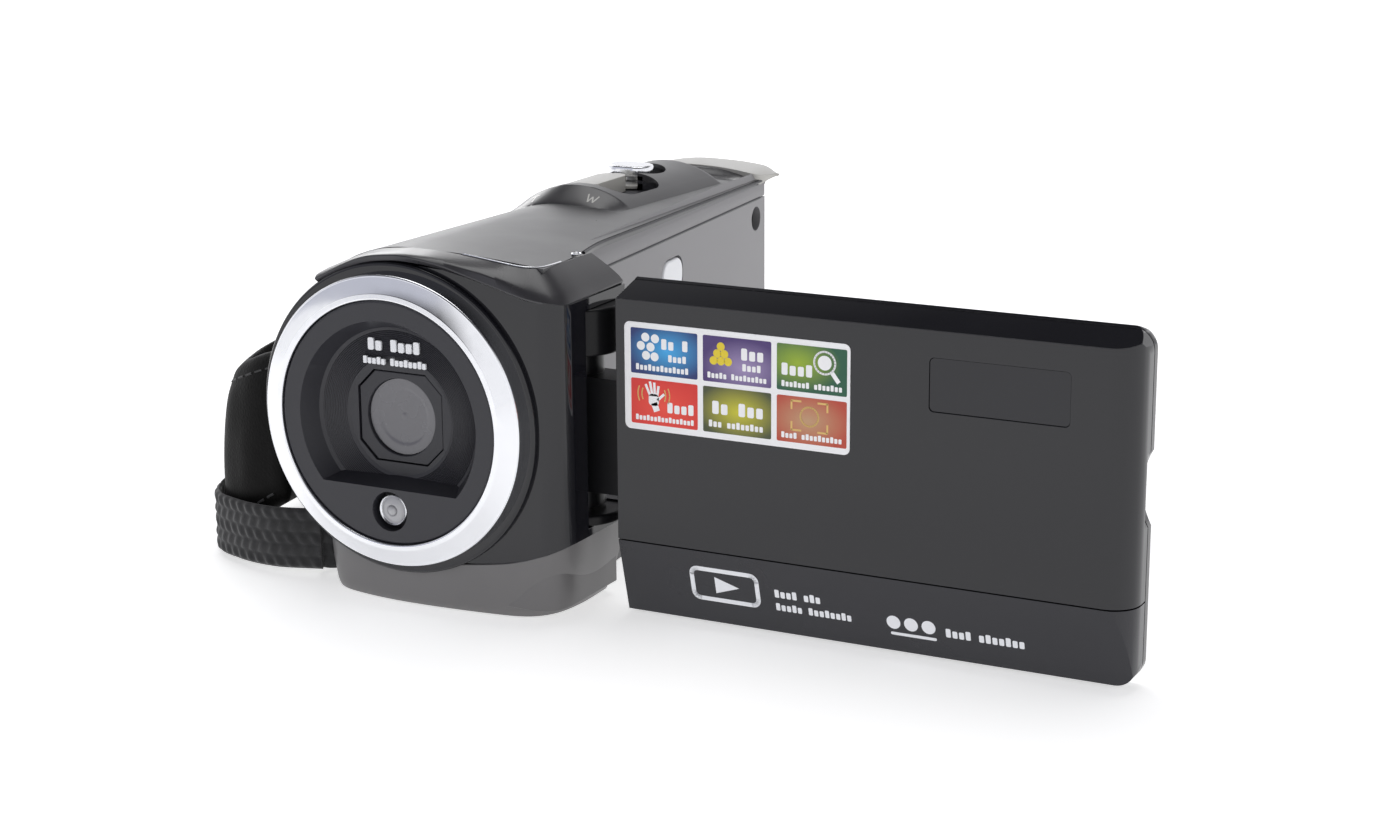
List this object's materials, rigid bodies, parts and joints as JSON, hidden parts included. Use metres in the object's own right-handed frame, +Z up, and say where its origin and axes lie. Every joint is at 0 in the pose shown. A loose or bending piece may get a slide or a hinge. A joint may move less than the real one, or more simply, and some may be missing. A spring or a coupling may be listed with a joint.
{
  "type": "camcorder",
  "caption": "Hand-held camcorder with a round lens, a fold-out tilting screen, top and side buttons and a side hand strap.",
  "frame": {"origin": "centre of the tripod socket's mouth on the base", "axes": "-Y the way the lens looks, +X the side the screen opens on, +Z up"},
  "size_m": [0.1716, 0.1203, 0.0609],
  "materials": {
    "gloss_black": "high-gloss black ABS",
    "satin_black": "satin charcoal ABS",
    "matte_black": "matte black ABS with a fine texture",
    "chin_grey": "satin gunmetal plastic",
    "plate_grey": "painted metallic grey plastic",
    "silver_paint": "painted silver plastic",
    "chrome": "bright plated, finely brushed",
    "steel": "turned steel",
    "brass": "turned brass",
    "lens_glass": "coated optical glass",
    "screen_glass": "glossy screen window",
    "lamp_glass": "clear moulded lamp lens",
    "circuit_board": "solder-masked board",
    "chip_black": "moulded chip package",
    "battery_wrap": "printed battery wrap",
    "record_red": "red button cap",
    "status_green": "light pipe",
    "white_key": "bright key cap",
    "rubber": "soft black rubber",
    "sticker_print": "glossy printed label",
    "strap_leather": "black leatherette",
    "strap_nylon": "ribbed black nylon webbing"
  },
  "bodies": {
    "camera_body": {"front_shell": "gloss_black", "front_cap": "satin_black", "chrome_ring": "chrome", "lens_bezel": "matte_black", "lens_frame": "matte_black", "lens_window": "lens_glass", "lens_barrel": "matte_black", "front_element": "lens_glass", "rear_element": "lens_glass", "image_sensor": "chip_black", "sensor_board": "circuit_board", "lamp_reflector": "chrome", "lamp_lens": "lamp_glass", "top_cover": "satin_black", "grip_shell": "satin_black", "chin_cover": "chin_grey", "lower_cover": "satin_black", "side_plate": "plate_grey", "side_strip": "plate_grey", "rear_panel": "satin_black", "tail_band": "silver_paint", "main_board": "circuit_board", "main_chip": "chip_black", "battery": "battery_wrap", "battery_bay": "matte_black", "battery_contacts": "brass", "card_socket": "steel", "memory_card": "battery_wrap", "speaker": "chip_black", "usb_socket": "steel", "av_socket": "chip_black", "tripod_bush": "brass", "case_screws": "steel", "status_lamp": "status_green", "hinge_pin": "steel", "strap_pad": "strap_leather", "strap_webbing": "strap_nylon", "strap_anchors": "steel"},
    "zoom_lever": {"zoom_lever": "silver_paint"},
    "photo_button": {"photo_button": "chrome"},
    "record_button": {"record_button": "record_red"},
    "mode_button": {"mode_button": "chrome"},
    "power_button": {"power_button": "white_key"},
    "menu_button": {"menu_button": "satin_black"},
    "play_button": {"play_button": "satin_black"},
    "up_button": {"up_button": "satin_black"},
    "down_button": {"down_button": "satin_black"},
    "battery_door": {"battery_door": "satin_black"},
    "port_cover": {"port_cover": "rubber"},
    "hinge_arm": {"hinge_block": "gloss_black", "tilt_shaft": "steel"},
    "screen": {"tilt_bushing": "brass", "lcd_cover": "gloss_black", "lcd_lower_strip": "satin_black", "lcd_bezel": "gloss_black", "lcd_glass": "screen_glass", "lcd_module": "chip_black", "lcd_board": "circuit_board", "sticker": "sticker_print", "nameplate": "satin_black"}
  },
  "joints": [
    {"name": "screen_swing", "type": "hinge", "parent": "camera_body", "child": "hinge_arm", "pos_m": [0.025, -0.0345, 0.0295], "axis": [0, 0, 1], "range_deg": [0, 94.7]},
    {"name": "screen_tilt", "type": "hinge", "parent": "hinge_arm", "child": "screen", "pos_m": [0.0346, -0.0355, 0.0295], "axis": [1, 0, 0], "range_deg": [0, 180]},
    {"name": "zoom_turn", "type": "hinge", "parent": "camera_body", "child": "zoom_lever", "pos_m": [-0.001, 0.032, 0.0575], "axis": [0, 0, 1], "range_deg": [-12, 12], "stiffness_Nm_per_rad": 0.02},
    {"name": "photo_press", "type": "slide", "parent": "camera_body", "child": "photo_button", "axis": [0, 0, -1], "range_m": [0, 0.0009], "stiffness_N_per_m": 250, "springref_m": -0.0004},
    {"name": "record_press", "type": "slide", "parent": "camera_body", "child": "record_button", "axis": [0, -1, 0], "range_m": [0, 0.001], "stiffness_N_per_m": 250, "springref_m": -0.0004},
    {"name": "mode_press", "type": "slide", "parent": "camera_body", "child": "mode_button", "axis": [0, -1, 0], "range_m": [0, 0.0008], "stiffness_N_per_m": 250, "springref_m": -0.0004},
    {"name": "power_press", "type": "slide", "parent": "camera_body", "child": "power_button", "axis": [-0.9966, -0.0819, 0], "range_m": [0, 0.0008], "stiffness_N_per_m": 250, "springref_m": -0.0004},
    {"name": "menu_press", "type": "slide", "parent": "camera_body", "child": "menu_button", "axis": [-0.9966, -0.0819, 0], "range_m": [0, 0.0008], "stiffness_N_per_m": 250, "springref_m": -0.0004},
    {"name": "play_press", "type": "slide", "parent": "camera_body", "child": "play_button", "axis": [-0.9966, -0.0819, 0], "range_m": [0, 0.0008], "stiffness_N_per_m": 250, "springref_m": -0.0004},
    {"name": "up_press", "type": "slide", "parent": "camera_body", "child": "up_button", "axis": [-0.9966, -0.0819, 0], "range_m": [0, 0.0008], "stiffness_N_per_m": 250, "springref_m": -0.0004},
    {"name": "down_press", "type": "slide", "parent": "camera_body", "child": "down_button", "axis": [-0.9966, -0.0819, 0], "range_m": [0, 0.0008], "stiffness_N_per_m": 250, "springref_m": -0.0004},
    {"name": "door_slide", "type": "slide", "parent": "camera_body", "child": "battery_door", "axis": [0, 1, 0], "range_m": [0, 0.046]},
    {"name": "cover_swing", "type": "hinge", "parent": "camera_body", "child": "port_cover", "pos_m": [0.0083, 0.0587, 0.019], "axis": [0, 0, -1], "range_deg": [0, 100]}
  ]
}
